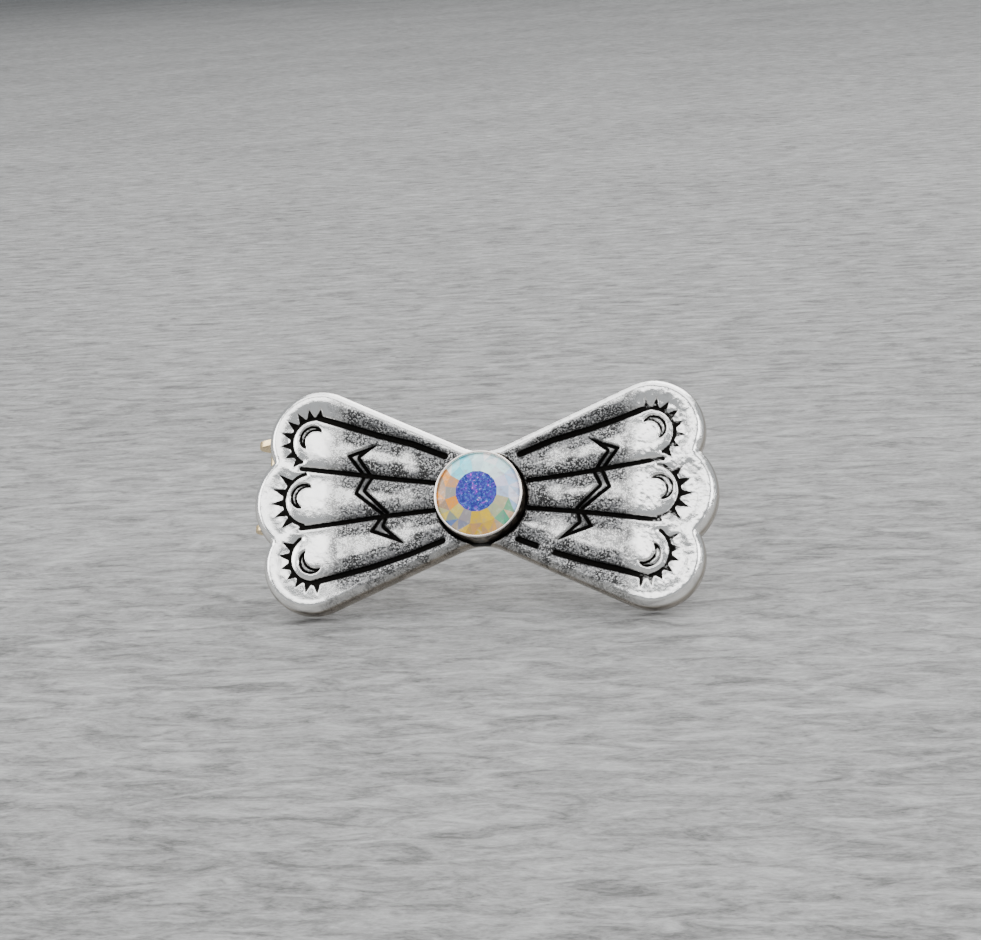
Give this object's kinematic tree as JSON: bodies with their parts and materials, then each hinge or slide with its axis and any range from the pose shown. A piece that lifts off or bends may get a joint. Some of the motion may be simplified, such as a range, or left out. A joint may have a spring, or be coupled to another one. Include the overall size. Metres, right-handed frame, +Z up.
{
  "type": "brooch",
  "caption": "Bow-shaped brooch with petal-ribbed wings, a round faceted crystal in a cup, and a hinged pin with a turning safety catch on its back.",
  "frame": {"origin": "on the ground, under the middle of the brooch's box as it stands on its two lower lobes and its opened pin", "axes": "+X along the bow, hinge at -X and catch at +X; -Y the side the bow faces; +Z up"},
  "size_m": [0.0404, 0.0264, 0.018],
  "materials": {
    "antique_silver": "antiqued plated casting",
    "bright_silver": "bright plated",
    "crystal": "faceted, rainbow coated",
    "foil": "mirror foil",
    "adhesive": "cured cement",
    "brass": "satin, pale gold",
    "steel_wire": "drawn wire"
  },
  "bodies": {
    "bow": {"bow_plate": "antique_silver", "bezel_cup": "bright_silver", "crystal_stone": "crystal", "stone_foil": "foil", "stone_adhesive": "adhesive", "pin_bar": "brass", "bar_rivets": "brass", "hinge_rivet": "brass", "hinge_spacers": "brass", "catch_housing": "brass"},
    "pin": {"pin_stem": "steel_wire"},
    "rotor": {"catch_rotor": "brass"}
  },
  "joints": [
    {"name": "pin_hinge", "type": "hinge", "parent": "bow", "child": "pin", "pos_m": [-0.01852, -0.0036, 0.00948], "axis": [0, 0.4908, 0.8713], "range_deg": [-32, 48]},
    {"name": "catch_turn", "type": "hinge", "parent": "bow", "child": "rotor", "pos_m": [0.01409, -0.00288, 0.00907], "axis": [1, 0, 0], "range_deg": [-100, 0]}
  ]
}
